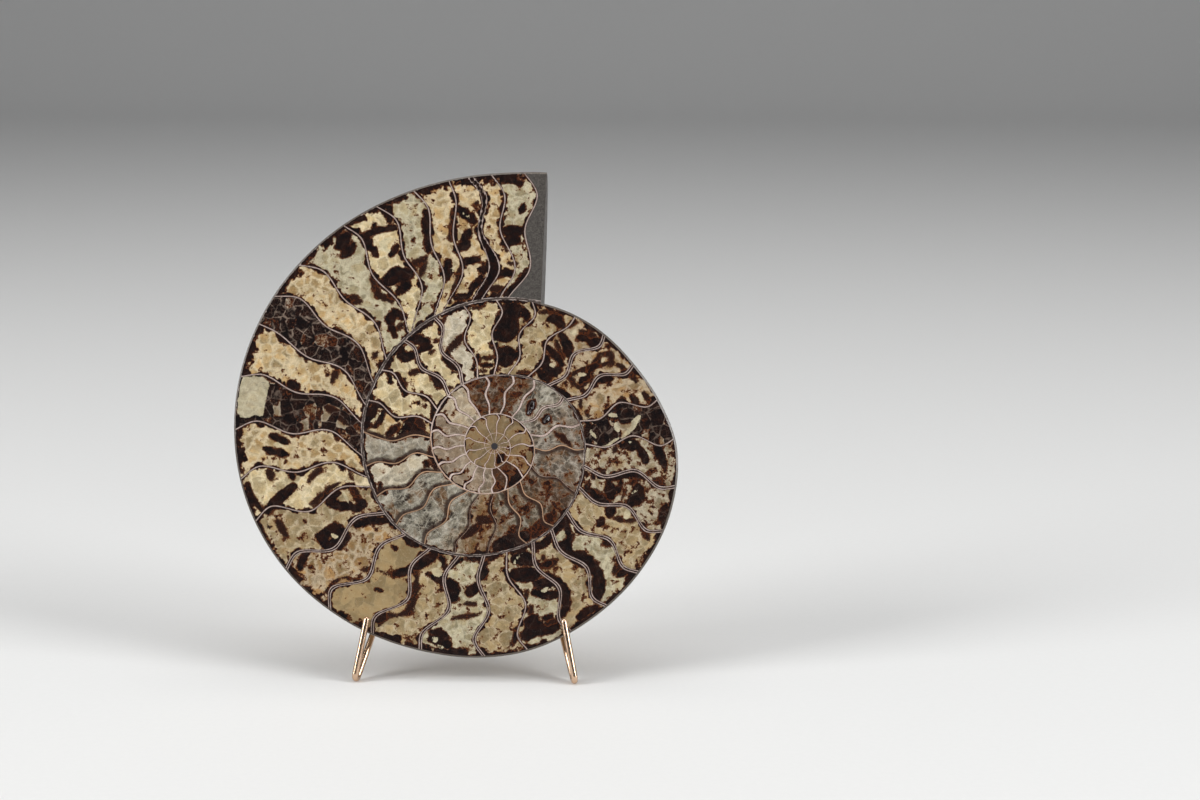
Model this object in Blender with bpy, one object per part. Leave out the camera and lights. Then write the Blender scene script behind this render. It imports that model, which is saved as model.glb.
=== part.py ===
"""One polished half of a sawn ammonite, leaning on a small easel bent from round wire.

World axes: +X to the right as seen from the polished face, -Y towards the viewer, +Z up.
The polished face is the ammonite's local XY plane, with the spiral's centre at its origin.
"""

import math

import bmesh
import bpy
from mathutils import Matrix, Vector

MM = 0.001

# The spiral: the outer wall's radius at angles counted back from the mouth (degrees, millimetres).
SPIRAL_RADII = (
    (79, 86.1), (90, 84.3), (110, 83.2), (130, 83.1), (150, 82.8), (170, 81.6), (190, 79.2),
    (210, 75.3), (230, 70.8), (250, 67.0), (267, 65.1), (280, 63.7), (300, 60.9), (320, 59.1),
    (340, 57.9), (360, 56.1), (375, 52.8), (391, 49.8), (410, 48.1), (440, 45.9), (473, 44.0),
    (510, 42.1), (556, 40.0), (582, 38.6), (608, 35.5), (634, 32.6), (664, 30.8), (700, 28.4),
    (745, 26.8), (771, 24.6), (806, 21.9), (850, 21.2), (888, 20.0), (937, 17.2), (976, 15.0),
    (1010, 13.6), (1075, 12.3), (1139, 10.3), (1206, 9.7), (1274, 9.0), (1338, 7.0), (1427, 5.0),
    (1540, 3.9),
)
# The sawn edge across the mouth is a straight line through these two face points.
MOUTH_OUTER = Vector((15.4, 84.6)) * MM
MOUTH_INNER = Vector((13.9, 44.4)) * MM
MOUTH_STRAIGHT_FROM = 40 * MM
TURNS = 4
ROWS_PER_TURN = 96

# The flank's cross-section, from the rim to the umbilical seam: (share of the way in, share of full depth).
RIM_BEVEL = 0.6 * MM
RIM_BEVEL_DEPTH = 0.9 * MM
FLANK = (
    (0.012, 0.20), (0.035, 0.33), (0.075, 0.46), (0.13, 0.58), (0.20, 0.69), (0.29, 0.80), (0.40, 0.89),
    (0.52, 0.955), (0.64, 0.99), (0.73, 1.0), (0.81, 0.985), (0.88, 0.92), (0.94, 0.76),
)
FLANK_SEAM = 11
DEPTH_TO_RADIUS = 0.222
INNERMOST_SEAM = 0.24

# How the half stands: leaning back, its spiral's centre at this place between the feet.
LEAN = math.radians(12)
SPIRAL_CENTRE = Vector((8.4, 16.25, 71.2)) * MM

# The wire easel. X is given for the right side; the left side mirrors it.
WIRE_RADIUS = 1.0 * MM
HOOK_TIP = Vector((30.2, 4.03, 19.97)) * MM
FOOT_CORNER = Vector((34.96, -1.02, -3.81)) * MM
FOOT_BEND = 1.6 * MM
ARM_CORNER = Vector((21.5, 30.0, 36.0)) * MM
ARM_BEND = 120 * MM
ARM_TOP = Vector((3.6, 41.0, 99.0)) * MM
TOP_BEND = 3.2 * MM
REAR_CORNER = Vector((8.0, 84.0, 1.0)) * MM
REAR_BEND = 4.0 * MM
BEND_STEP = math.radians(18)
BEND_RUN = 6 * MM


def spiral_radius(angle):
    """Radius of the outer wall at a polar angle in radians, counted back from the mouth."""
    degrees = math.degrees(angle)
    angles = [a for a, _ in SPIRAL_RADII]
    logs = [math.log(r * MM) for _, r in SPIRAL_RADII]
    last = len(angles) - 2
    k = max((i for i in range(last + 1) if angles[i] <= degrees), default=0)

    def slope(i):
        low, high = max(i - 1, 0), min(i + 1, last + 1)
        return (logs[high] - logs[low]) / (angles[high] - angles[low])

    width = angles[k + 1] - angles[k]
    t = min(max((degrees - angles[k]) / width, 0), 1)
    curve = (
        (2 * t**3 - 3 * t**2 + 1) * logs[k]
        + (t**3 - 2 * t**2 + t) * width * slope(k)
        + (3 * t**2 - 2 * t**3) * logs[k + 1]
        + (t**3 - t**2) * width * slope(k + 1)
    )
    return math.exp(curve)


def mouth_angle(radius):
    """Polar angle of the mouth's edge at a radius: straight outside, curling in near the centre."""
    along = (MOUTH_OUTER - MOUTH_INNER).normalized()
    foot = MOUTH_INNER - along * MOUTH_INNER.dot(along)
    reach = max(radius, MOUTH_STRAIGHT_FROM)
    point = foot + along * math.sqrt(reach**2 - foot.length_squared)
    angle = math.atan2(point.y, point.x)
    if radius < MOUTH_STRAIGHT_FROM:
        curl = foot.length / math.sqrt(reach**2 - foot.length_squared)
        angle += curl * math.log(radius / reach)
    return angle


def rim_radius(turned):
    """Radius where the line of the mouth, turned back by an angle, meets the outer wall."""
    radius = spiral_radius(math.radians(79) + turned)
    for _ in range(12):
        radius = spiral_radius(mouth_angle(radius) + turned)
    return radius


def flank_rows():
    """For each row, from the innermost to the mouth, its (radius, depth) points from rim to seam."""
    rows = []
    for row in range(TURNS * ROWS_PER_TURN + 1):
        turned = (TURNS * ROWS_PER_TURN - row) * math.tau / ROWS_PER_TURN
        rim = rim_radius(turned)
        full = rim * DEPTH_TO_RADIUS
        if row < ROWS_PER_TURN:
            seam, seam_depth = rim * INNERMOST_SEAM, full * 0.5
        else:
            seam, seam_depth = rows[row - ROWS_PER_TURN][FLANK_SEAM]
        edge = min(1, full / (10 * MM))
        points = [(rim - RIM_BEVEL * edge, 0.0), (rim, RIM_BEVEL_DEPTH * edge)]
        points += [(rim + (seam - rim) * inward, full * share) for inward, share in FLANK]
        points.append((seam, seam_depth))
        rows.append(points)
    return rows


def ammonite_mesh():
    rows = flank_rows()
    last_row = len(rows) - 1
    last_point = len(rows[0]) - 1
    open_from = last_row - ROWS_PER_TURN
    shape = bmesh.new()
    made = {}

    def vertex(row, point):
        if point == last_point and row >= ROWS_PER_TURN:
            return vertex(row - ROWS_PER_TURN, FLANK_SEAM)
        if (row, point) not in made:
            radius, depth = rows[row][point]
            angle = mouth_angle(radius) + (last_row - row) * math.tau / ROWS_PER_TURN
            made[row, point] = shape.verts.new(
                (radius * math.cos(angle), radius * math.sin(angle), -depth)
            )
        return made[row, point]

    for row in range(last_row):
        first = 0 if row >= open_from else FLANK_SEAM
        for point in range(first, last_point):
            corners = [
                vertex(row, point), vertex(row + 1, point),
                vertex(row + 1, point + 1), vertex(row, point + 1),
            ]
            shape.faces.new(corners)
    face = [vertex(row, 0) for row in range(open_from, last_row + 1)]
    mouth = [vertex(last_row, point) for point in range(last_point + 1)]
    mouth += [vertex(open_from, point) for point in range(FLANK_SEAM - 1, -1, -1)]
    flats = [shape.faces.new(face), shape.faces.new(mouth)]
    centre = [vertex(row, last_point) for row in range(ROWS_PER_TURN + 1)]
    centre += [vertex(0, point) for point in range(FLANK_SEAM + 1, last_point)]
    tip = shape.verts.new((0, 0, -rows[0][last_point][1]))
    for here, there in zip(centre, centre[1:] + centre[:1]):
        shape.faces.new((here, there, tip))
    bmesh.ops.triangulate(shape, faces=flats)
    bmesh.ops.recalc_face_normals(shape, faces=shape.faces)
    mesh = bpy.data.meshes.new("ammonite_half")
    shape.to_mesh(mesh)
    shape.free()
    return mesh


def rounded_path(corners):
    """Points along straight runs between (corner, bend radius) pairs, each corner rounded by an arc."""
    points = [corners[0][0]]
    for before, (corner, radius), after in zip(corners, corners[1:], corners[2:]):
        back = (before[0] - corner).normalized()
        ahead = (after[0] - corner).normalized()
        half = back.angle(ahead) / 2
        centre = corner + (back + ahead).normalized() * radius / math.sin(half)
        start = corner + back * radius / math.tan(half) - centre
        axis = back.cross(ahead).normalized()
        sweep = math.pi - 2 * half
        steps = round(max(sweep / BEND_STEP, radius * sweep / BEND_RUN))
        points += [
            centre + Matrix.Rotation(-sweep * k / steps, 3, axis) @ start for k in range(steps + 1)
        ]
    points.append(corners[-1][0])
    return points


def wire_path():
    """The wire's centre line from the right hook, round the rear foot, to the left hook."""
    right = [
        (HOOK_TIP, 0),
        (FOOT_CORNER, FOOT_BEND),
        (ARM_CORNER, ARM_BEND),
        (ARM_TOP, TOP_BEND),
        (REAR_CORNER, REAR_BEND),
    ]
    left = [(Vector((-corner.x, corner.y, corner.z)), bend) for corner, bend in reversed(right)]
    return rounded_path(right + left)


def wire_object():
    curve = bpy.data.curves.new("wire_stand", "CURVE")
    curve.dimensions = "3D"
    curve.bevel_depth = WIRE_RADIUS
    curve.bevel_resolution = 3
    curve.use_fill_caps = True
    points = wire_path()
    spline = curve.splines.new("POLY")
    spline.points.add(len(points) - 1)
    for control, point in zip(spline.points, points):
        control.co = (*point, 1)
    return bpy.data.objects.new("wire_stand", curve)


def material(name, color, roughness, metallic):
    made = bpy.data.materials.new(name)
    made.use_nodes = True
    shader = made.node_tree.nodes["Principled BSDF"]
    shader.inputs["Base Color"].default_value = (*color, 1)
    shader.inputs["Roughness"].default_value = roughness
    shader.inputs["Metallic"].default_value = metallic
    return made


def corners_in_world(obj):
    graph = bpy.context.evaluated_depsgraph_get()
    mesh = obj.evaluated_get(graph).to_mesh()
    corners = [obj.matrix_world @ vertex.co for vertex in mesh.vertices]
    obj.evaluated_get(graph).to_mesh_clear()
    return corners


def main():
    for obj in list(bpy.data.objects):
        bpy.data.objects.remove(obj, do_unlink=True)
    group = bpy.data.collections.new("ammonite_half_on_stand")
    bpy.context.scene.collection.children.link(group)

    fossil = bpy.data.objects.new("ammonite_half", ammonite_mesh())
    fossil.location = SPIRAL_CENTRE
    fossil.rotation_euler = (math.pi / 2 - LEAN, 0, 0)
    fossil.data.shade_smooth()
    fossil.data.set_sharp_from_angle(angle=math.radians(35))
    fossil.data.materials.append(material("polished_fossil", (0.52, 0.40, 0.22), 0.15, 0.0))

    stand = wire_object()
    stand.data.materials.append(material("rose_gold_wire", (0.83, 0.52, 0.38), 0.18, 1.0))

    base = bpy.data.objects.new("table_point", None)
    for obj in (base, fossil, stand):
        group.objects.link(obj)
    bpy.context.view_layer.update()
    corners = corners_in_world(fossil) + corners_in_world(stand)
    low = Vector([min(corner[axis] for corner in corners) for axis in range(3)])
    high = Vector([max(corner[axis] for corner in corners) for axis in range(3)])
    fossil.parent = base
    stand.parent = base
    base.location = (-(low.x + high.x) / 2, -(low.y + high.y) / 2, -low.z)


main()
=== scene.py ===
"""Looks of one polished ammonite half on its wire easel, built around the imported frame.

The fossil's own frame: its sawn face is the local XY plane seen from +Z, with the spiral's centre at the
origin. A place on the face is given as (angle, across): degrees counted back along the spiral from the +X
axis, whorl after whorl, and the share of the way from the whorl's outer wall to its inner wall.
"""

import math

import bpy
import numpy as np
from mathutils import Matrix, Vector


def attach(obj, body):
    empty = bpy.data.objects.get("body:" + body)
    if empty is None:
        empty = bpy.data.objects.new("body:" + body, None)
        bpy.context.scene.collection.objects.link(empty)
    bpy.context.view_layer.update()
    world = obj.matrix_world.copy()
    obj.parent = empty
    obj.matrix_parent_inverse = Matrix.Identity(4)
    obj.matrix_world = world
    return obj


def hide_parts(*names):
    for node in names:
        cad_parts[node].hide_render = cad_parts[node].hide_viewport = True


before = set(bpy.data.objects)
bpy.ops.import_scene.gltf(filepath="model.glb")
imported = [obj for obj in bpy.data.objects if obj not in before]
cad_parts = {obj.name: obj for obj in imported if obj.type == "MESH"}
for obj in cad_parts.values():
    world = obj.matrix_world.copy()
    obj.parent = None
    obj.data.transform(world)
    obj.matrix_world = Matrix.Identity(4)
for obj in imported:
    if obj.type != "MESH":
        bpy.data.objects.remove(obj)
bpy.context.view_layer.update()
MM = 0.001

# A table of text has commas between its rows and blanks between a row's words.
# The spiral's outer wall: degrees and radius in mm.
SPIRAL = (
    "79 86.1, 90 84.3, 110 83.2, 130 83.1, 150 82.8, 170 81.6, 190 79.2, 210 75.3, 230 70.8, 250 67",
    "267 65.1, 280 63.7, 300 60.9, 320 59.1, 340 57.9, 360 56.1, 375 52.8, 391 49.8, 410 48.1, 440 45.9",
    "473 44, 510 42.1, 556 40, 582 38.6, 608 35.5, 634 32.6, 664 30.8, 700 28.4, 745 26.8, 771 24.6",
    "806 21.9, 850 21.2, 888 20, 937 17.2, 976 15, 1010 13.6, 1075 12.3, 1139 10.3, 1206 9.7, 1274 9",
    "1338 7, 1427 5, 1540 3.9, 1680 2.4, 1900 1.2",
)
MOUTH_OUTER = Vector((15.4, 84.6))
MOUTH_INNER = Vector((13.9, 44.4))
MOUTH_STRAIGHT_FROM = 40
FIRST_ANGLE = 79
TURNS = 4
COLUMNS_PER_TURN = 720
CELLS_ACROSS = (42, 27, 16, 10)
RIM_ROUNDS = 12
# The innermost turn's seam, as shares of its radius and depth.
CENTRE_SHARE = 0.24
CENTRE_DEPTH = 0.5

# The flank behind the face, from the rim to the seam: (share of the way in, share of full depth).
RIM_BEVEL = 0.6
RIM_BEVEL_DEPTH = 0.9
BEVEL_MIDDLE = (0.25, 0.3)
BEVEL_FADES = 8
FLANK = (
    (0.012, 0.20), (0.035, 0.33), (0.075, 0.46), (0.13, 0.58), (0.20, 0.69), (0.29, 0.80), (0.40, 0.89),
    (0.52, 0.955), (0.64, 0.99), (0.73, 1.0), (0.81, 0.985), (0.88, 0.92), (0.94, 0.76),
)
FLANK_SEAM = 11
DEPTH_TO_RADIUS = 0.222
FULL_BEVEL_DEPTH = 10

LEAN = math.radians(12)
SPIRAL_CENTRE = Vector((12.154, -25.95, 71.18)) * MM

# Septa, counted back from the mouth: the angle at the outer wall and how far from it the septum is at each
# further share in ACROSS, then the kind of line, and the filling of the chamber behind it.
ACROSS = (0, 0.19, 0.46, 0.77, 1)
SEPTA = (
    "84.5 -3.7 -2 -5.2 1 thin greenish, 91.5 -3.3 -2.5 -7.6 -3 thin golden, 95.5 -3 -1.6 -6.5 0.5 thin gap",
    "96.2 -2.9 -1.5 -3.9 3.3 thin golden, 100.3 -0.8 1.4 1 11.7 thin golden",
    "108.3 -2.2 -0.4 -0.9 7.2 thin greenish, 117 -3 -1 -1.5 10 thin cream",
    "125 -1.8 1 -0.7 2.8 thin greenish, 138 -3.1 -1.8 -3.1 4 thin golden",
    "146.5 -3.2 -1.4 -2.5 6.5 thin net, 153 0 2 0.9 10 thin golden, 165.3 -2 0 -1.6 5.7 thin mixed",
    "177 -2.6 -0.1 -1.7 8 thin golden, 188 -2.7 -0.1 -1.7 6.5 thin cream, 198 -2.5 1.8 -2.6 0.5 thin beige",
    "211.2 -2.4 1.7 -3.3 0.6 pair honey, 225.5 -3.9 1 -3.9 -0.5 pair smooth",
    "237.5 -2 3.3 -1.9 0.8 pair beige, 250.5 -1 4.3 -1.1 2 pair greenish, 268 -3.5 0.5 -4.5 -3 pair beige",
    "280 -2.5 1.7 -3.7 -2.8 thin greenish, 293 -1.9 2.1 -3.4 -0.5 pair beige",
    "305.8 -2.3 2 -3.1 -0.8 pair greenish, 319.5 -2 1.9 -3.4 -1 pair beige, 334 -2.4 2.1 -2.6 0.5 pair dim",
    "348 -1.5 2.6 -2.8 0 pair dim, 363 -2.3 1.8 -3 -1 thin mixed, 376.5 -1.5 3.2 -1.5 0.5 thin honey",
    "391 -1.5 3.2 -1.1 2 pair honey, 406 -1.8 3.6 -0.8 3 pair honey, 418.5 0.5 5.5 2.3 6.5 thin beige",
    "436 -2.7 2 -1.2 4 thin beige, 450 -2.8 1.8 -1.4 1 thin cream, 463 -1.8 3.3 -0.6 1.5 thin pale",
    "475.5 -1.3 4.2 -0.5 2.5 pair cream, 491 -1.2 2.5 -2.2 1 pair cream",
    "506.5 -1.8 2.1 -2.1 1.5 thin cream, 520.5 -0.5 3.5 -1.3 0 thin golden, 534 1.8 3.3 -1.7 -1 brown grey",
    "549.3 -1.3 0.9 -4 1.7 brown pale, 563.5 -1 2.2 -3 3.5 brown slate, 579 -1.5 2 -3.3 4 brown slate",
    "595 -2 2.3 -2.7 5 brown slate, 610.5 -1.5 2.5 -1 3.5 faint amber, 627 1 5.2 -0.5 3 faint dusk",
    "649.2 -3.3 1.3 -4.2 -1.2 brown dusk, 667.2 -3 2 -4.2 -0.2 brown umber",
    "690.9 0.6 2.9 -2.9 1.1 faint ash, 718.8 -0.8 2.5 -3.3 -0.8 brown ash",
    "734.7 -0.2 3.7 -2.1 3.3 wide ash, 755.9 -2.1 2.5 -1.2 7.1 pair slate",
    "780 -3.5 -0.8 -2.8 -0.5 wide umber, 796.3 -2.5 3 0.9 4.2 wide umber, 817.8 -2.5 2.5 0 1.8 wide umber",
    "838 -2 1 -1.5 -2 wide tan, 853.4 -2.5 1.9 -2.5 -3.8 wide tan, 872.8 -3.8 0 -4.4 -7.5 wide taupe",
    "887.8 -3.2 0.6 -5 -6.9 wide taupe, 902.8 -1.9 1.2 -2.5 -3.8 wide taupe",
    "919 -1.5 1.3 -2.5 -3.7 wide taupe, 937 -3 1.4 -3 -4.2 wide taupe, 955.3 -2.5 1.2 -3.3 -5 wide taupe",
    "972.8 -2.5 1.2 -3.8 -5 wide taupe, 988.4 -1.9 3.1 -2.5 -4.4 wide rust",
    "1003.4 4.4 8.1 2.5 -5.4 wide rust, 1033 1.5 4 1 -4 wide amber, 1052 2 8.3 4.5 -2 wide core",
    "1082 -1 3.3 0.8 -9 wide core, 1110.3 -5 -1.3 -1.9 -8.8 wide core, 1140 -7.2 -4.1 -4.1 -10 wide core",
)
# Further in the septa repeat evenly down to the first chamber.
INNER_SEPTA_STEP = 27
INNER_SEPTA = (-6, -3, -3, -6, "wide", "core")
LAST_ANGLE = 1930
# Kinds of septum line: half the line's width and half the gap between a pair in mm, and how brown it is.
LINES = (
    "thin 0.155 0 0, pair 0.12 0.36 0, wide 0.29 0 0, brown 0.15 0 1, faint 0.02 0 0.6",
)
LINE_FULL_FROM = 17
LINE_LEAST = 0.15
# Between these septa the fillings flow into each other like clouds, across the septa.
CLOUDY = (563, 837)
# Chamber fillings: the crystal's own colour (linear), then how strong its honey stain, its dark mottling,
# its whitish grains and its brown net are.
FILLINGS = (
    "golden 0.44 0.34 0.19 0.45 0 0.5 0.1, cream 0.51 0.415 0.243 0.15 0 0.35 0",
    "pale 0.44 0.385 0.285 0.05 0.1 0.5 -0.1, greenish 0.36 0.314 0.198 0.15 0.05 0.6 0.1",
    "beige 0.34 0.262 0.145 0.2 0 0.25 0.18, smooth 0.32 0.235 0.12 0.1 0 0 0",
    "dim 0.3 0.25 0.165 0.3 0.1 0.4 0.4, honey 0.31 0.225 0.125 0.6 0 0.5 0.22",
    "net 0.25 0.195 0.14 0.3 0.1 0.4 1, mixed 0.24 0.185 0.12 0.3 0 0.3 0.6, gap 0.05 0.04 0.04 0 0 0 2.4",
    "grey 0.28 0.25 0.195 0.05 0.4 0.5 -0.2, slate 0.235 0.215 0.17 0.05 1 0.5 -0.3",
    "amber 0.19 0.115 0.05 0.5 0.2 0.2 0.3, dusk 0.12 0.094 0.064 0.2 0.8 0.3 0.4",
    "umber 0.062 0.028 0.012 0.3 0.75 0.2 0.4, ash 0.175 0.145 0.115 0.2 0.9 0.3 0.1",
    "tan 0.37 0.3 0.21 0.15 0.1 0.3 0.1, taupe 0.235 0.178 0.125 0.15 0.1 0.25 0.1",
    "rust 0.06 0.03 0.018 0.4 0 0 0.4, core 0.215 0.152 0.08 0.3 0 0.1 0.1",
)

# Dark marks, as strokes: half the stroke's width in tenths of a mm, then each place it runs through, as its
# angle (counted from the first one's after that) and its share across in hundredths.
DARK = (
    "8 84.8 10 1.7 5 4.2 7, 10 83.8 27 0.1 31, 14 83.4 47 4.4 46, 13 84 54 4 55, 11 80 78 1.5 86 6 97",
    "10 84.8 80 2.2 79 4.5 81, 13 95.8 36 3.7 24, 12 97 44 2 48, 12 98 53 3 55, 9 95.7 67 4.5 67",
    "8 93.2 75 1.8 75, 7 94.5 80 6.5 95, 8 102 93 3 93, 14 104.8 64 1.4 75, 10 106.9 20 1.1 35 2.3 50",
    "11 114.5 8 1 15, 3.5 119 13 0.2 13, 7 114.9 23 4.1 18 8.1 16, 8 121.8 18 0.7 25 0.4 34",
    "7 116.4 37 2.6 40, 22 117 60 3 56 7 56, 12 118.5 67 4 68, 18 125.6 9 2.8 12, 14 126 18 2.6 20",
    "11 125.3 87 2.2 79 4.7 80 7.2 92, 12 147 30 3 42 6 40, 13 148 12 3.5 20, 12 149.5 70 2.5 62",
    "12 150.5 84 3 90, 15 163.4 40 0.5 44, 8 166 30 3 31, 22 174.2 33 0.6 50, 10 169.5 38 -3.9 62",
    "9 177.8 29 1.4 41, 9 181.2 24 1.4 40, 6 189 5 3.5 6 7 10, 13 196.3 13 -2.3 27 -4.6 40",
    "7 188 41 1.4 42, 8 186.6 82 2.2 82, 12 197 72 2.4 63 5 72 8 84, 10 202 86 2.6 88",
    "16 207.8 42 3.8 42 3.6 59 0.2 58 0 42, 8 212.3 11 -1.7 20 -2.4 25, 7 212.4 60 1.3 49",
    "11 210 73 1 85 4.8 97, 13 232.4 63 2.6 70, 2.2 231 41 1.4 42, 3.5 225.6 83 0.8 83",
    "8 226.4 97 3.1 95.5 5.9 96.5, 9 236.6 15 1 22, 5.5 242.6 74.5 2.9 73 6 70, 14 237.4 77 2.6 86 4.4 96",
    "6 244.8 94 2.2 90 4.2 83, 5 248.2 73 1 80, 13 252.4 14 2.1 14 5.2 10, 9 251.6 20 2.4 22 4.9 18",
    "19 251.8 71 2.2 66 4 57, 16 261.2 63 1.6 70, 4.5 250.8 88 1.7 93 5.2 97, 5 256 97 6.5 96",
    "5 276.4 12 0.6 20, 12 264.8 78 0.8 90, 5 267.5 95 4.5 97, 22 280.2 15 2.8 20 4.8 15, 15 281 27 3 28",
    "10 286 12 3.6 12, 7 286.5 25 2.5 24, 11 285.8 53 3.2 46 7.6 41, 11 287.2 60 2.8 57 5.1 53",
    "20 279.5 76 4.5 72 9.1 70, 19 281 90 5 88 7.6 82, 13 292.4 21 2.4 26 4 38 3.2 50 0.4 62",
    "9 296.5 8 3 10 6 7, 8 293.4 73 2.6 72, 10 293 94 4 92 9.5 94, 18 305.2 15 2.8 24 5 37",
    "19 310.2 40 -1.2 52 -3.8 64, 15 306.2 66 -1.6 80, 10 304.6 80 2.9 78 6.6 80, 9 311.2 82 1.3 92",
    "9 305.5 95 3.5 96 9.5 93, 7 314.5 16 2.5 12, 5 319 47 1.2 43, 10 323.8 63 1.8 63, 15 330.2 59 2.4 60",
    "2.5 320.4 6 0.4 6, 7 336.4 8 2.6 9 5.4 6, 20 338 42 3 38 6.2 38, 5 340 58 4.3 58, 17 337.4 65 4.4 69",
    "9 333.6 66 0.8 80 3 92, 9 348.4 36 1.4 45 -1.2 60 -3.6 73, 4.5 342.6 87 3 89, 5 347 13 -0.1 22 1 29",
    "12 354.4 15 3.1 19 7.1 22, 11 354.8 34 4.2 40, 14 362.2 25 2.8 21 4.8 18, 15 360.5 43 1 50 0 58",
    "9 365.6 40 4.9 26, 16 372 50 1 42 2.5 50, 13 366.5 62 2.5 72 6.5 70, 10 362 73 4 82 10 86",
    "9 363 94 6 94 11 90, 7 377.4 26 3 27, 12 391 37 1.4 44 2.4 50, 10 376.4 38 2 46 0.6 56",
    "8 398 55 -0.6 70, 6 399 38 0.2 50, 7 392 96 6 95.5 12.5 97, 3.5 391.6 75 1.6 74, 13 405.4 12 2 20",
    "8 409.6 20 3.4 24, 12 411.2 50 3.8 40 8.4 32, 8 411 66 5 60 11 54, 18 410.8 76 1.6 82",
    "13 414.5 82 3.5 76 5.9 68, 9 411 92 5 92 8.5 88, 12 421.6 20 2.4 15 5.2 17, 12 436.4 22 1.6 14",
    "30 442.5 20 2.5 26 4.5 36, 24 441.6 38 2.4 46 7 47, 16 440.8 12 4.8 12, 20 439 74 4 72 8.6 70",
    "12 439.6 82 5.4 84, 4 451.6 86 3.4 86 7.4 84, 3.5 464 80 2 86, 11 489 5 -2.5 10 -5.5 20",
    "8 483 31 3 27 6 26, 11 480 58 -2.2 68 -3.5 76, 2.5 478 29 2 29, 12 494.6 8 1.6 12 0.2 20 -2.6 24",
    "13 492 70 -0.6 82, 5 506.5 13 1.1 17 2.5 22, 2 505.3 77 1.7 77, 1.5 510 71 1 71, 1.5 510.4 81 1 80",
    "4.5 505 84 2 92 5 96, 3 509 93 6 97, 14 523 12 3 8 7.5 5, 6 522.5 26 4.5 25 9 18, 5 530 48 4.5 36",
    "10 522 70 5 64 10 58 13 55, 16 526 68 3.5 72 4 85, 5 553.5 87 2 85 4 84, 2.5 550 96 10 94",
    "5 558.5 13 2.5 10 5.5 14, 22 632 12 8 13 18 12, 7 745.4 62 4 50, 8 764.4 72 5.6 46",
    "10 1013 14 9 18 18 20, 11 1371 40 17 50",
)
# Red-brown to chocolate stains, in the same form.
BROWN = (
    "7 87.8 36 0.5 37, 4 83.5 72 2.5 72, 5 89.5 46 -2.5 62, 11 86.5 93 5.5 91, 10 94.6 22 0.1 24",
    "9 100.2 25 2.4 47, 8 101 70 2.5 82 7 95, 10 110.8 55 4 55, 9 111.8 60 2.2 66, 5 120.3 91 0.5 91",
    "11 126.5 47 1.7 60 -0.7 71, 14 133.5 54 2.1 46, 5 134 4 3 4, 8 127.3 90 3.3 90, 10 142 90 2.3 90",
    "5 141.2 3 2.1 3, 16 146.6 60 1.4 60, 10 155 70 3.6 70, 8 171 60 4 61, 12 167 70 2.5 82 5 93",
    "8 176.2 80 1.6 81, 12 186.4 25 2.2 25, 8 188 65 1.8 57 3.5 53, 9 198.3 49 -2.3 62 -4.7 75",
    "4 190 87 4 87, 12 199.6 18 3.6 18, 6 199.8 9 0.6 9, 12 196.6 85 4.2 86, 8 221.4 12 -0.8 29",
    "3.5 221 31 3.6 39, 10 223.9 50 1.1 54, 4 226.8 57 2.2 58.5 5.2 60 9.2 67, 7 237.4 12 1 24 3.6 27",
    "11 241 28 2.2 34 1.4 48 0 60 -1.2 68, 7 239.8 68 -1.8 74, 10 237.4 74 2.1 82 4.1 90",
    "6 256.6 37 4.4 40 9.4 43, 6 260 53 4 52, 10 275.8 10 0.8 15 1.6 24, 5 266 76 1 77, 9 282.5 34 0.8 40",
    "13 286.5 18 3.1 18, 8 282 50 1 56, 13 292 73 3 72 6.4 70, 6 293.4 79 0.8 81, 12 314 20 3.4 22",
    "11 318.8 48 1.6 42, 8 329.5 11 2.1 22, 6 333 33 -2.2 40 -3.2 52, 3.5 338 53 4 51",
    "16 334 64 0.6 78 2 90, 11 345.4 48 2.6 40, 10 348 14 1 24, 8 358 68 2 66, 9 377 12 3 12",
    "6 380.2 38 1.6 38, 8 385.4 12 3 11, 5 377.8 88 2.6 87, 6 385.6 90 3.8 83, 8 391.4 14 3 17",
    "9 396 21 3 15 5.4 23, 9 401.4 25 -2.2 42, 8 396 24 2.8 42, 13 398.8 46 -1.8 60 -3.6 72",
    "10 399.4 46 2 60 4.2 70, 7 395 75 4 77 8.8 72, 14 408.6 12 4 16, 7 417.4 8 1.2 16, 7 412 58 4 52 8 42",
    "6 422 12 5 7 10 13, 5.5 422.4 93 4.6 94 10.6 96, 8 437 28 1.8 10, 9 436.8 72 1.8 70",
    "8 440.4 50 2.2 54, 5 453.5 5 3.5 8 7.5 6, 5 450 70 2.5 60, 5.5 450 76 5 77 8.5 74, 5 460.2 80 0.8 72",
    "4.5 456 93 5.5 91, 11 467 40 5 46 9.8 51, 4 471 4 2.5 12 4 20, 6 483.5 38 2 38, 5 477 82 2.8 78",
    "5 486.6 95 2.4 91, 7 495.5 47 2.5 40 4.5 37, 4 494 83 1.5 80, 10 504.5 36 2 40, 4 518 8 1 3",
    "9 528 52 3 44 7 38, 22 523 78 3 80 6.5 84, 3.5 541 98 8 93, 14 612 30 8 50, 12 617 60 11 55",
    "18 650 13 21 15, 9 722 30 10 50, 7 784 40 8 50",
)
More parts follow.
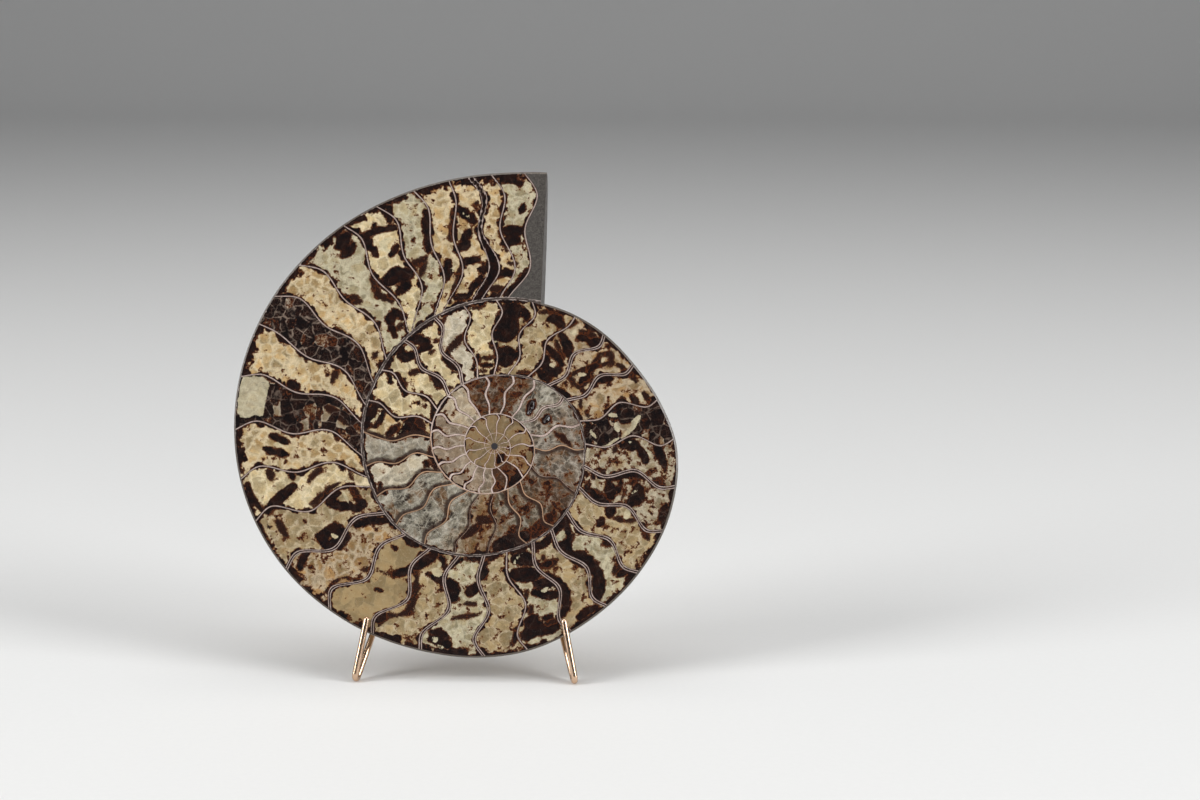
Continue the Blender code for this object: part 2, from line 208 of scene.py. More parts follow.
# Pale crystals inside and between the marks, in the same form.
PALE = (
    "4.5 96.8 33 1.5 28, 6 102.7 70 1.5 70, 12 117.5 29 2.3 30 1.8 36, 5 180.1 31 0.2 41",
    "5 197.6 77 3.9 77, 9 209.6 52 1 53, 12 244.5 80 3 77, 8 244.8 87 1 85, 9 253 14 0.8 13.5",
    "3.5 255 8 1.4 7, 6 288.8 51 2 50, 3 280 86 2.6 91 5 93, 7 306 88 1.5 88.5 3 88, 11 332.4 42 2.4 43",
    "3.5 342 44 1 40, 5 356.4 28 3.2 33, 6 362 50 0.4 50, 4.5 360.4 79 3.6 62, 7 365 55 3.5 43 7 31",
    "9 368 60 2.4 60, 5 365.5 87 3.5 90, 7 374.6 56 1.2 62, 6 377.6 19 2.8 17, 4 398.8 26 0.2 30",
    "5 399.6 58 0.2 64, 11 415.4 20 0.8 22, 6 414 73 2 72, 2.5 441 61 5 59 10.6 54",
    "21 165.8 6 6.6 7 6.4 12.5 -0.2 12.5 -0.2 19 6.4 19, 4.5 524 22 2.5 18 5.5 12",
    "1.5 526.5 59 4.5 56 8.5 50",
)
# Small open pits in the polished face, in the same form, sunk by PIT_DEPTH.
PITS = (
    "5.5 745.6 62 3.6 50, 6 764.6 72 5 48",
)
STROKE_REACH = 4.0
STROKE_TAPER = 0.35
LEAST_RUN = 1e-4
WOBBLE = 0.22
PIT_DEPTH = 0.45
PIT_SLOPE = 0.4

# Whorl walls: thickness in mm, and the ribs of the outside.
WALL_LEAST = 0.12
WALL_TO_RADIUS = 0.017
RIB_STEP = 6.5
RIB_SWAY = 0.9
RIB_DEPTH = 0.02
RIBS_START = 8
RIBS_END = 6
FAR_FROM_WALL = 9
FACE, SHELL, MOUTH = 0, 1, 2

# Blender's noise stays near 0.5; this spreads it over about -1 to 1.
NOISE_STRETCH = 3.8
# Whole septa added to a place's phase, so that its fraction is right before the first septum too.
SEPTA_BEFORE = 50
# The frills of the septa's edges in the shell: how far they sway in septa, and their rate along the flank.
FRILLS = ((0.20, 0.75), (0.09, 2.3), (0.04, 6.9))

# Colours, linear.
HONEY_STAIN = (1.05, 0.78, 0.48)
CRYSTAL_HEART = (0.96, 0.78, 0.50)
WHITE = (0.60, 0.56, 0.47)
MOTTLE = (0.030, 0.021, 0.016)
CLOUD_WHITE = (0.52, 0.50, 0.44)
CLOUD_BROWN = (0.13, 0.06, 0.02)
RUST = (0.17, 0.065, 0.022)
VEIN = (0.55, 0.50, 0.40)
HALO = (0.26, 0.12, 0.045)
BROWN_DEEP = (0.016, 0.005, 0.003)
BROWN_WARM = (0.060, 0.015, 0.005)
FRINGE = (0.070, 0.018, 0.005)
BLACK = (0.004, 0.002, 0.002)
CHOCOLATE = (0.015, 0.004, 0.002)
DARK_VEIN = (0.24, 0.18, 0.14)
FIRST_CHAMBER = (0.035, 0.032, 0.035)
PALE_CRYSTAL = (0.54, 0.49, 0.33)
MATRIX_DARK = (0.045, 0.04, 0.036)
MATRIX = (0.105, 0.095, 0.085)
MATRIX_FLECK = (0.19, 0.17, 0.15)
SEPTUM = (0.64, 0.52, 0.47)
SEPTUM_DEEP = (0.33, 0.24, 0.20)
SEPTUM_BROWN = (0.42, 0.26, 0.16)
SEPTUM_EDGE = (0.028, 0.013, 0.009)
WALL = (0.115, 0.09, 0.08)
WALL_DARK = (0.035, 0.024, 0.019)
WALL_LINE = (0.50, 0.42, 0.38)
SHELL_TAN = (0.34, 0.22, 0.11)
SHELL_PALE = (0.45, 0.36, 0.22)
SHELL_BROWN = (0.13, 0.06, 0.025)
SHELL_LINE = (0.05, 0.025, 0.012)
SHELL_EDGE = (0.075, 0.06, 0.048)
ROSE_GOLD = (0.80, 0.58, 0.42)
ROSE_GOLD_DEEP = (0.62, 0.42, 0.28)
PAPER = (0.80, 0.80, 0.79)
PAPER_ROUGHNESS = 0.75

# The stage, in metres.
FLOOR_REACH = 3.2
FLOOR_SIDE = 4.8
SWEEP = 1.2
SWEEP_STEPS = 24
WALL_HEIGHT = 3.0
# Soft boxes: their place, their size and their power in watts, all turned to LIGHT_TARGET.
LIGHTS = {
    "left_softbox": ((-1.3, -0.75, 0.75), (0.7, 1.2), 21),
    "right_softbox": ((1.35, -0.7, 0.7), (0.7, 1.2), 21),
    "top_softbox": ((0.0, 0.1, 1.6), (1.4, 1.0), 12),
}
LIGHT_TARGET = Vector((0.0, 0.0, 0.08))
WORLD_COLOR = (0.93, 0.95, 1.0, 1)
WORLD_STRENGTH = 0.09
# Edges of a piece are sharp from this angle on.
SHARP_FROM = math.radians(24)

# The photograph's camera, in the row frame, in mm and degrees.
CAMERA_PLACE = Vector((79.0, -878.28, 243.99))
CAMERA_LENS = 85
CAMERA_SENSOR = 36
CAMERA_YAW = 2.3087
CAMERA_PITCH = 10.5

# The wire easel: its right side's corners as x, y, z and the radius of the bend there, in mm. They run from
# the hook's tip by the foot, the arm and the top to the rear foot, and the left side mirrors them.
WIRE_CORNERS = (
    (30.2, 4.03, 19.97, 0), (34.96, -1.02, -3.81, 1.6), (21.5, 30, 36, 120), (3.6, 41, 99, 3.2),
    (8, 84, 1, 4),
)
WIRE_SHIFT = Vector((3.754, -42.20, -0.02))
WIRE_RADIUS = 1.0
BEND_STEP = math.radians(7)
WIRE_SIDES = 20
TIP_RINGS = 5
TIP_START = 0.001
TIP_LEAST = 0.01


def curve_through(places, values, at):
    """A smooth curve through (places, values), evaluated with numpy at many places."""
    places, values = np.asarray(places, float), np.asarray(values, float)
    below = np.maximum(np.arange(len(places)) - 1, 0)
    above = np.minimum(np.arange(len(places)) + 1, len(places) - 1)
    slopes = (values[above] - values[below]) / (places[above] - places[below])
    k = np.clip(np.searchsorted(places, at, side="right") - 1, 0, len(places) - 2)
    width = places[k + 1] - places[k]
    t = np.clip((at - places[k]) / width, 0, 1)
    return (
        (2 * t**3 - 3 * t**2 + 1) * values[k]
        + (t**3 - 2 * t**2 + t) * width * slopes[k]
        + (3 * t**2 - 2 * t**3) * values[k + 1]
        + (t**3 - t**2) * width * slopes[k + 1]
    )


def spiral_radius(degrees):
    """Radius of the outer wall in mm."""
    angles, radii = np.array(rows_in(SPIRAL), float).T
    return np.exp(curve_through(angles, np.log(radii), degrees))


def mouth_angle(radius):
    """Polar angle of the mouth's edge in degrees at a radius: straight outside, curling in further on."""
    along = (MOUTH_OUTER - MOUTH_INNER).normalized()
    foot = MOUTH_INNER - along * MOUTH_INNER.dot(along)
    reach = np.maximum(radius, MOUTH_STRAIGHT_FROM)
    run = np.sqrt(reach**2 - foot.length_squared)
    angle = np.arctan2(foot.y + along.y * run, foot.x + along.x * run)
    curl = foot.length / run * np.log(np.minimum(radius, reach) / reach)
    return np.degrees(angle + curl)


def rim_radius(turned):
    """Radius where the mouth's line, turned back by some degrees, meets the outer wall."""
    radius = spiral_radius(FIRST_ANGLE + turned)
    for _ in range(RIM_ROUNDS):
        radius = spiral_radius(mouth_angle(radius) + turned)
    return radius


def rows_in(table):
    """The words of each row of a table."""
    return [row.split() for row in ", ".join(table).split(", ")]


def named(table):
    """The rows of a table by their first word."""
    return {name: words for name, *words in rows_in(table)}


def stroke_depths(table, angle, across):
    """How deep in mm each place is inside the nearest stroke, which thins to its ends; negative outside."""
    best = np.full(angle.shape, -STROKE_REACH)
    for tenths, *numbers in rows_in(table):
        half = float(tenths) / 10
        knots = np.array(numbers, float).reshape(-1, 2) / (1, 100)
        knots[1:, 0] += knots[0, 0]
        knots = np.concatenate((knots, knots[-1:]))
        middle, share = (knots.min(0) + knots.max(0)) / 2
        outer, inner = spiral_radius(middle), spiral_radius(middle + 360)
        scale = np.array((math.radians(outer + (inner - outer) * share), outer - inner))
        near = np.abs(angle - middle) < np.ptp(knots[:, 0]) / 2 + (half + STROKE_REACH) / scale[0]
        places = np.stack((angle[near], across[near]), -1) * scale
        knots *= scale
        runs = np.diff(knots, axis=0)
        lengths = np.maximum(np.hypot(*runs.T), LEAST_RUN)
        before = np.cumsum(lengths) - lengths
        for start, run, length, passed in zip(knots, runs, lengths, before):
            away = places - start
            t = np.clip(away @ run / length**2, 0, 1)
            to_middle = 2 * (passed + t * length + LEAST_RUN / 2) / (lengths.sum() + LEAST_RUN) - 1
            wide = half * (1 - STROKE_TAPER * to_middle**2)
            best[near] = np.maximum(best[near], wide - np.hypot(*(away - t[:, None] * run).T))
    return best


def wobbled(angle, radius):
    """Angles shifted a little, so that the marks' outlines wander."""
    x, y = radius * np.cos(np.radians(angle)), radius * np.sin(np.radians(angle))
    shift = np.sin(1.1 * x + 1.7 * np.sin(0.9 * y)) + np.sin(1.9 * y - 1.3 * x + 1)
    return angle + WOBBLE * shift / np.radians(radius)


def all_septa():
    """Every septum's angles across, lines and fillings, with the innermost ones added evenly."""
    septa = rows_in(SEPTA)
    at = float(septa[-1][0]) + INNER_SEPTA_STEP
    while at < LAST_ANGLE:
        septa.append([at, *INNER_SEPTA])
        at += INNER_SEPTA_STEP
    bends = np.array([septum[:5] for septum in septa], float)
    bends[:, 1:] += bends[:, :1]
    kinds = [named(LINES)[septum[5]] for septum in septa]
    looks = [named(FILLINGS)[septum[6]] for septum in septa]
    return bends, np.array(kinds, float), np.array(looks, float)


def face_facts(angle, across):
    """What the face's material needs at each place: its septum, walls, marks and filling."""
    shape = angle.shape
    angle, across = angle.ravel(), across.ravel()
    bends, kinds, looks = all_septa()
    lines = np.array([curve_through(ACROSS, angles, across) for angles in bends])
    gaps = np.diff(lines, axis=0)
    phase = np.clip((angle - lines[:-1]) / gaps, 0, 1).sum(0)
    phase += np.clip((angle - lines[0]) / gaps[0], -0.5, 0)
    chamber = np.clip(np.floor(phase).astype(int), 0, len(bends) - 2)
    nearest = np.clip(np.round(phase).astype(int), 0, len(bends) - 1)
    outer, inner = spiral_radius(angle), spiral_radius(angle + 360)
    radius = outer + (inner - outer) * across
    width = gaps[chamber, np.arange(angle.size)] * np.radians(radius)
    wall = WALL_LEAST + WALL_TO_RADIUS * radius
    half, gap, brownness = kinds[nearest].T
    first, last = np.searchsorted(bends[:, 0], CLOUDY)
    before = np.clip(np.floor(phase - 0.5).astype(int), first, last - 1)
    after = np.clip(before + 1, first, last - 1)
    share = (phase - 0.5 - before)[:, None]
    flowing = looks[before] * (1 - share) + looks[after] * share
    cloudy = (chamber >= first) & (chamber < last)
    fillings = np.where(cloudy[:, None], flowing, looks[chamber])
    slimmer = np.clip(radius / LINE_FULL_FROM, LINE_LEAST, 1)
    marked = wobbled(angle, radius)
    depths = [stroke_depths(table, marked, across) for table in (DARK, BROWN, PALE)]
    walls = (across * (outer - inner) / wall, (1 - across) * (outer - inner) / wall, width)
    facts = {
        "septum": np.stack((phase, half * slimmer, gap * slimmer, brownness), -1),
        "walls": np.stack(walls, -1),
        "marks": np.stack(depths, -1),
        "filling": fillings[:, 3:6],
        "tint": fillings[:, [0, 1, 2, 6]],
    }
    return each(facts, lambda values: values.reshape(*shape, -1))


def each(facts, change):
    """The same change made to the values of every fact."""
    return {name: change(values) for name, values in facts.items()}


def bevel_at(turned):
    """How far the bevel sets the face's edge in: full along the open rim, fading out inside the mouth."""
    size = np.minimum(1, rim_radius(turned) * DEPTH_TO_RADIUS / FULL_BEVEL_DEPTH)
    return RIM_BEVEL * size * np.clip(1 - (turned - 360) / BEVEL_FADES, 0, 1)


def face_strip(turn):
    """One turn of the face: points in mm and their facts, column by column, from outer to inner wall."""
    columns = COLUMNS_PER_TURN + (turn == TURNS - 1)
    turned = (turn + np.arange(columns) / COLUMNS_PER_TURN) * 360
    rim = rim_radius(turned) - bevel_at(turned)
    seam = rim_radius(turned + 360) - bevel_at(turned + 360)
    steps = np.linspace(0, 1, CELLS_ACROSS[turn] + 1)
    radii = rim[:, None] + (seam - rim)[:, None] * steps
    angles = mouth_angle(radii) + turned[:, None]
    outer, inner = spiral_radius(angles), spiral_radius(angles + 360)
    across = np.clip((outer - radii) / (outer - inner), 0, 1)
    sunk = np.clip(stroke_depths(PITS, angles.ravel(), across.ravel()) / PIT_SLOPE, 0, 1)
    points = flat_points(radii, angles, PIT_DEPTH * sunk.reshape(angles.shape))
    return points, face_facts(angles, across)


def flat_points(radii, angles, depths):
    """Points in mm from radii, angles in degrees and depths behind the face."""
    angles = np.radians(angles)
    return np.stack((radii * np.cos(angles), radii * np.sin(angles), -depths + 0 * radii), -1)


def flank_curves(turned):
    """Radii and depths of the flank's points, one row per column, from the bevel's middle to the seam."""
    rim = rim_radius(turned)
    full = rim * DEPTH_TO_RADIUS
    size = np.minimum(1, full / FULL_BEVEL_DEPTH)
    if turned[0] >= TURNS * 360:
        seam, seam_depth = rim * CENTRE_SHARE, full * CENTRE_DEPTH
    else:
        radii, depths = flank_curves(turned + 360)
        seam, seam_depth = radii[:, FLANK_SEAM], depths[:, FLANK_SEAM]
    set_in, set_back = BEVEL_MIDDLE
    radii = [rim - RIM_BEVEL * size * set_in, rim]
    radii += [*(rim + (seam - rim) * inward for inward, _ in FLANK), seam]
    depths = [RIM_BEVEL_DEPTH * size * set_back, RIM_BEVEL_DEPTH * size]
    depths += [*(full * share for _, share in FLANK), seam_depth]
    return np.stack(radii, -1), np.stack(depths, -1)


def flank_strip(turn):
    """One turn of the outer shell behind the face: points with fine ribs and their facts."""
    turned = (turn + np.arange(COLUMNS_PER_TURN + 1) / COLUMNS_PER_TURN) * 360
    radii, depths = flank_curves(turned)
    angles = mouth_angle(radii) + turned[:, None]
    inward = np.clip((radii[:, :1] - radii) / (radii[:, :1] - radii[:, -1:]), 0, 1)
    ribs = np.cos(2 * np.pi * (angles / RIB_STEP + RIB_SWAY * np.sin(np.pi * inward)))
    fade = np.clip(inward * RIBS_START, 0, 1) * np.clip((1 - inward) * RIBS_END, 0, 1)
    depths = depths * (1 - RIB_DEPTH * (0.5 - 0.5 * ribs) * fade)
    facts = face_facts(angles, inward)
    run = np.cumsum(np.hypot(np.diff(radii, axis=1), np.diff(depths, axis=1)), axis=1)
    facts["walls"][:, 1:, 0] = run
    facts["walls"][:, :1, 0] = 0
    return flat_points(radii, angles, depths), facts


def corners(grid):
    """The four corners of every cell of a grid of vertex numbers or facts."""
    cells = np.stack((grid[:-1, :-1], grid[1:, :-1], grid[1:, 1:], grid[:-1, 1:]), 2)
    return cells.reshape(-1, 4, *grid.shape[2:])


def stitched(left, right):
    """Triangles between two columns of different cell counts, their points numbered from left to right."""
    triangles = []
    i = j = 0
    while i < left or j < right:
        start = (i, left + 1 + j)
        if j == right or (i < left and (i + 1) / left <= (j + 1) / right):
            i += 1
            triangles.append((*start, i))
        else:
            j += 1
            triangles.append((*start, left + 1 + j))
    return np.array(triangles)


class MeshParts:
    """Vertices, faces, corner facts and material numbers, gathered before they become one mesh."""

    WIDTHS = {"septum": 4, "walls": 3, "marks": 3, "filling": 3, "tint": 4}

    def __init__(self):
        self.points = []
        self.count = 0
        self.faces = []
        self.facts = {name: [] for name in self.WIDTHS}
        self.materials = []

    def place(self, points):
        """Adds points and gives their numbers, in the shape of the points' grid."""
        shape = points.shape[:-1]
        self.points.append(points.reshape(-1, 3))
        numbers = np.arange(self.count, self.count + self.points[-1].shape[0]).reshape(shape)
        self.count += numbers.size
        return numbers

    def add(self, faces, facts, material):
        """Adds faces of equal size; facts holds each corner's facts, or is None."""
        self.faces += np.asarray(faces).tolist()
        self.materials += [material] * len(faces)
        size = np.size(faces)
        for name, width in self.WIDTHS.items():
            values = np.zeros((size, width)) if facts is None else facts[name].reshape(size, width)
            self.facts[name].append(values)

    def mesh(self, name):
        made = bpy.data.meshes.new(name)
        made.from_pydata((np.concatenate(self.points) * MM).tolist(), [], self.faces)
        for key, width in self.WIDTHS.items():
            kind = "FLOAT_VECTOR" if width == 3 else "FLOAT_COLOR"
            layer = made.attributes.new(key, kind, "CORNER")
            values = np.concatenate(self.facts[key]).astype(np.float32).ravel()
            layer.data.foreach_set("vector" if width == 3 else "color", values)
        made.polygons.foreach_set("material_index", self.materials)
        return made


def fossil_mesh():
    """The whole half as one closed mesh: the face, the shell behind it and the sawn mouth."""
    parts = MeshParts()
    strips = [face_strip(turn) for turn in range(TURNS)]
    flanks = [flank_strip(turn) for turn in range(TURNS)]
    last = TURNS - 1
    face = [np.zeros(points.shape[:2], int) for points, _ in strips]
    for numbers, (points, _) in zip(face, strips):
        numbers[:, :-1] = parts.place(points[:, :-1])
    for here, inside in zip(face, face[1:]):
        here[:, -1] = inside[:COLUMNS_PER_TURN, 0]
    face[last][1:, -1] = parts.place(strips[last][0][1:, -1])
    face[last][0, -1] = face[last][-1, 0]

    for turn, (numbers, (_, facts)) in enumerate(zip(face, strips)):
        parts.add(corners(numbers), each(facts, corners), FACE)
        if turn < last:
            beside, beside_facts = face[turn + 1], strips[turn + 1][1]
            triangles = stitched(numbers.shape[1] - 1, beside.shape[1] - 1)
            both = {name: np.concatenate((facts[name][-1], beside_facts[name][0])) for name in facts}
            both = each(both, lambda values: values[triangles])
            parts.add(np.append(numbers[-1], beside[0])[triangles], both, FACE)
    ring_facts = each(strips[last][1], centre_ring)
    ring_facts["walls"][:, 1] = FAR_FROM_WALL
    close_ring(parts, centre_ring(face[last]), ring_facts, 0, FACE)

    shell = [np.zeros(points.shape[:2], int) for points, _ in flanks]
    shell[0][:, :FLANK_SEAM] = parts.place(flanks[0][0][:, :FLANK_SEAM])
    for numbers, (points, _) in zip(shell, flanks):
        numbers[:-1, FLANK_SEAM:-1] = parts.place(points[:-1, FLANK_SEAM:-1])
    for here, inside in zip(shell, shell[1:]):
        here[-1, FLANK_SEAM:-1] = inside[0, FLANK_SEAM:-1]
    shell[last][-1, FLANK_SEAM:-1] = parts.place(flanks[last][0][-1, FLANK_SEAM:-1])
    for here, inside in zip(shell, shell[1:]):
        here[:, -1] = inside[:, FLANK_SEAM]
    shell[last][1:, -1] = parts.place(flanks[last][0][1:, -1])
    shell[last][0, -1] = shell[last][-1, FLANK_SEAM]

    edge = np.append(face[0][:, 0], face[1][0, 0])
    for turn, (numbers, (_, facts)) in enumerate(zip(shell, flanks)):
        if turn == 0:
            numbers = np.column_stack((edge, numbers))
            facts = each(facts, lambda values: np.concatenate((values[:, :1], values), 1))
        else:
            numbers = numbers[:, FLANK_SEAM:]
            facts = each(facts, lambda values: values[:, FLANK_SEAM:])
        backwards = each(facts, lambda values: corners(values)[:, ::-1])
        parts.add(corners(numbers)[:, ::-1], backwards, SHELL)
    ring_facts = each(flanks[last][1], lambda values: centre_ring(values[:, FLANK_SEAM:])[::-1])
    ring = centre_ring(shell[last][:, FLANK_SEAM:])[::-1]
    close_ring(parts, ring, ring_facts, flanks[last][0][-1, -1, 2], SHELL)

    mouth = [*face[0][0], *shell[0][-1, :FLANK_SEAM], *shell[0][0, ::-1]]
    parts.add([mouth], None, MOUTH)
    return parts.mesh("ammonite_half_polished")


def centre_ring(grid):
    """The innermost turn's inner edge and its end, as one closed ring."""
    return np.concatenate((grid[:, -1], grid[-1, -2::-1]))


def close_ring(parts, ring, ring_facts, depth, material):
    """A fan of triangles from a closed ring of vertices to a new one at the spiral's centre."""
    middle = parts.place(np.array(((0, 0, depth),)))
    here = np.arange(len(ring) - (ring[0] == ring[-1]))
    ahead = (here + 1) % len(here)
    faces = np.stack((ring[here], ring[ahead], np.repeat(middle, len(here))), -1)
    facts = each(ring_facts, lambda values: np.stack((values[here], values[ahead], values[here]), 1))
    parts.add(faces, facts, material)


def rounded_path(bends):
    """Points in mm along straight runs between (corner, bend radius) pairs, with an arc at each corner."""
    points = [bends[0][0]]
    for before, (corner, radius), after in zip(bends, bends[1:], bends[2:]):
        back = (before[0] - corner).normalized()
        ahead = (after[0] - corner).normalized()
        half = back.angle(ahead) / 2
        centre = corner + (back + ahead).normalized() * radius / math.sin(half)
        start = corner + back * radius / math.tan(half) - centre
        axis = back.cross(ahead).normalized()
        sweep = math.pi - 2 * half
        steps = math.ceil(sweep / BEND_STEP)
        points += [centre + Matrix.Rotation(-sweep * k / steps, 3, axis) @ start for k in range(steps + 1)]
    points.append(bends[-1][0])
    return points


def wire_mesh():
    """The easel's wire as one round tube with rounded tips."""
    right = [(Vector((x, y, z)), bend) for x, y, z, bend in WIRE_CORNERS]
    left = [(Vector((-x, y, z)), bend) for x, y, z, bend in reversed(WIRE_CORNERS)]
    path = rounded_path(right + left)
    first = (path[1] - path[0]).normalized()
    final = (path[-2] - path[-1]).normalized()
    turns = [math.radians(90 * k / TIP_RINGS) for k in range(TIP_RINGS)]
    tip = [(WIRE_RADIUS * (1 - math.cos(turn)) + TIP_START, WIRE_RADIUS * math.sin(turn)) for turn in turns]
    tip = [(along, max(size, TIP_LEAST)) for along, size in tip] + [(WIRE_RADIUS, WIRE_RADIUS)]
    rings = [(path[0] + first * along, size) for along, size in tip]
    rings += [(point, WIRE_RADIUS) for point in path[1:-1]]
    rings += [(path[-1] + final * along, size) for along, size in reversed(tip)]
    side = first.orthogonal().normalized()
    points = []
    for k, (centre, size) in enumerate(rings):
        run = (rings[min(k + 1, len(rings) - 1)][0] - rings[max(k - 1, 0)][0]).normalized()
        side = (side - run * side.dot(run)).normalized()
        across = run.cross(side)
        for step in range(WIRE_SIDES):
            turn = step * math.tau / WIRE_SIDES
            place = centre + (side * math.cos(turn) + across * math.sin(turn)) * size + WIRE_SHIFT
            points.append(place * MM)
    numbers = np.arange(len(points)).reshape(-1, WIRE_SIDES)
    around = corners(np.column_stack((numbers, numbers[:, 0])))
    faces = around[:, (0, 3, 2, 1)].tolist() + [numbers[0, ::-1].tolist(), numbers[-1].tolist()]
    made = bpy.data.meshes.new("wire_stand_smooth")
    made.from_pydata(points, [], faces)
    return made


class Value:
    """A node's output, which can be added, subtracted and multiplied like a number."""

    def __init__(self, nodes, socket):
        self.nodes = nodes
        self.socket = socket

    def __add__(self, other):
        return self.nodes.math("ADD", self, other)

    def __sub__(self, other):
        return self.nodes.math("SUBTRACT", self, other)

    def __rsub__(self, other):
        return self.nodes.math("SUBTRACT", other, self)

    def __mul__(self, other):
        return self.nodes.math("MULTIPLY", self, other)

    def __abs__(self):
        return self.nodes.math("ABSOLUTE", self)

    __radd__ = __add__
    __rmul__ = __mul__


class Nodes:
    """Short calls for building a material's nodes. An input may be a number, a tuple or a Value.

    place holds the object's coordinates in mm, and body the colour built so far.
    """

    def __init__(self, name):
        self.material = bpy.data.materials.new(name)
        self.material.use_nodes = True
        self.tree = self.material.node_tree
        self.body = None
        self.place = self.scaled(self.node("TexCoord", "Object", {}), 1 / MM)

    def feed(self, socket, value):
        if isinstance(value, Value):
            self.tree.links.new(value.socket, socket)
        elif isinstance(value, tuple) and socket.type == "RGBA":
            socket.default_value = (*value, 1)
        else:
            socket.default_value = value

    def node(self, kind, output, inputs, **settings):
        made = self.tree.nodes.new("ShaderNode" + kind)
        for name, value in settings.items():
            setattr(made, name, value)
        for key, value in inputs.items():
            self.feed(made.inputs[key], value)
        return Value(self, made.outputs[output])

    def math(self, operation, a, b=0):
        return self.node("Math", 0, {0: a, 1: b}, operation=operation)

    def least(self, a, b):
        return self.math("MINIMUM", a, b)

    def most(self, a, b):
        return self.math("MAXIMUM", a, b)

    def ramp(self, value, low, high, start=0, end=1):
        """start below low, end above high, and a smooth step between."""
        inputs = {0: value, 1: low, 2: high, 3: start, 4: end}
        return self.node("MapRange", 0, inputs, interpolation_type="SMOOTHSTEP")

    def mix(self, share, a, b):
        return self.node("Mix", 2, {0: share, 6: a, 7: b}, data_type="RGBA")

    def paint(self, share, color):
        """Covers the body colour with another, as far as the share says."""
        self.body = self.mix(share, self.body, color)

    def tint(self, share, color):
        """Multiplies the body colour by another, as far as the share says."""
        inputs = {0: share, 6: self.body, 7: color}
        self.body = self.node("Mix", 2, inputs, data_type="RGBA", blend_type="MULTIPLY")

    def scaled(self, vector, number):
        """A colour or a place times a number."""
        return self.node("VectorMath", 0, {0: vector, 3: number}, operation="SCALE")

    def noise(self, size, detail=4, roughness=0.6, place=None):
        """Noise around 0, about -1 to 1, with features of a size in mm."""
        place = place or self.place
        inputs = {"Vector": place, "Scale": 1 / size, "Detail": detail, "Roughness": roughness}
        return NOISE_STRETCH * (self.node("TexNoise", 0, inputs) - 0.5)

    def cells(self, place, size):
        """Three random numbers for each crystal cell, of a size in mm."""
        return self.split(self.node("TexVoronoi", "Color", {"Vector": place, "Scale": 1 / size}))

    def to_edge(self, place, size):
        """Distance in mm from the edges between those cells."""
        inputs = {"Vector": place, "Scale": 1 / size}
        return size * self.node("TexVoronoi", "Distance", inputs, feature="DISTANCE_TO_EDGE")

    def split(self, vector):
        sockets = self.node("SeparateXYZ", 0, {0: vector}).socket.node.outputs
        return [Value(self, socket) for socket in sockets]

    def fact(self, name, output):
        return self.node("Attribute", output, {}, attribute_name=name)

    def facts(self, name):
        return self.split(self.fact(name, "Vector"))

    def moved(self, size, amount):
        """The place shifted by noise of a size in mm, so that straight edges bend."""
        noise = self.node("TexNoise", "Color", {"Vector": self.place, "Scale": 1 / size, "Detail": 2})
        centred = self.node("VectorMath", 0, {0: noise, 1: (0.5, 0.5, 0.5)}, operation="SUBTRACT")
        shift = self.scaled(centred, amount * 2)
        return self.node("VectorMath", 0, {0: self.place, 1: shift}, operation="ADD")

    def between_septa(self, phase):
        """The share of the way from one septum to the next, and the share to the nearest of them."""
        share = self.math("FRACT", phase + SEPTA_BEFORE)
        return share, self.least(share, 1 - share)

    def bump(self, height, depth):
        """A normal from a height in mm."""
        return self.node("Bump", 0, {"Height": height, "Distance": depth * MM, "Strength": 1})

    def finish(self, rough, **inputs):
        shader = self.tree.nodes["Principled BSDF"].inputs
        self.feed(shader["Base Color"], self.body)
        self.feed(shader["Roughness"], rough)
        for name, value in inputs.items():
            self.feed(shader[name.replace("_", " ")], value)
        return self.material


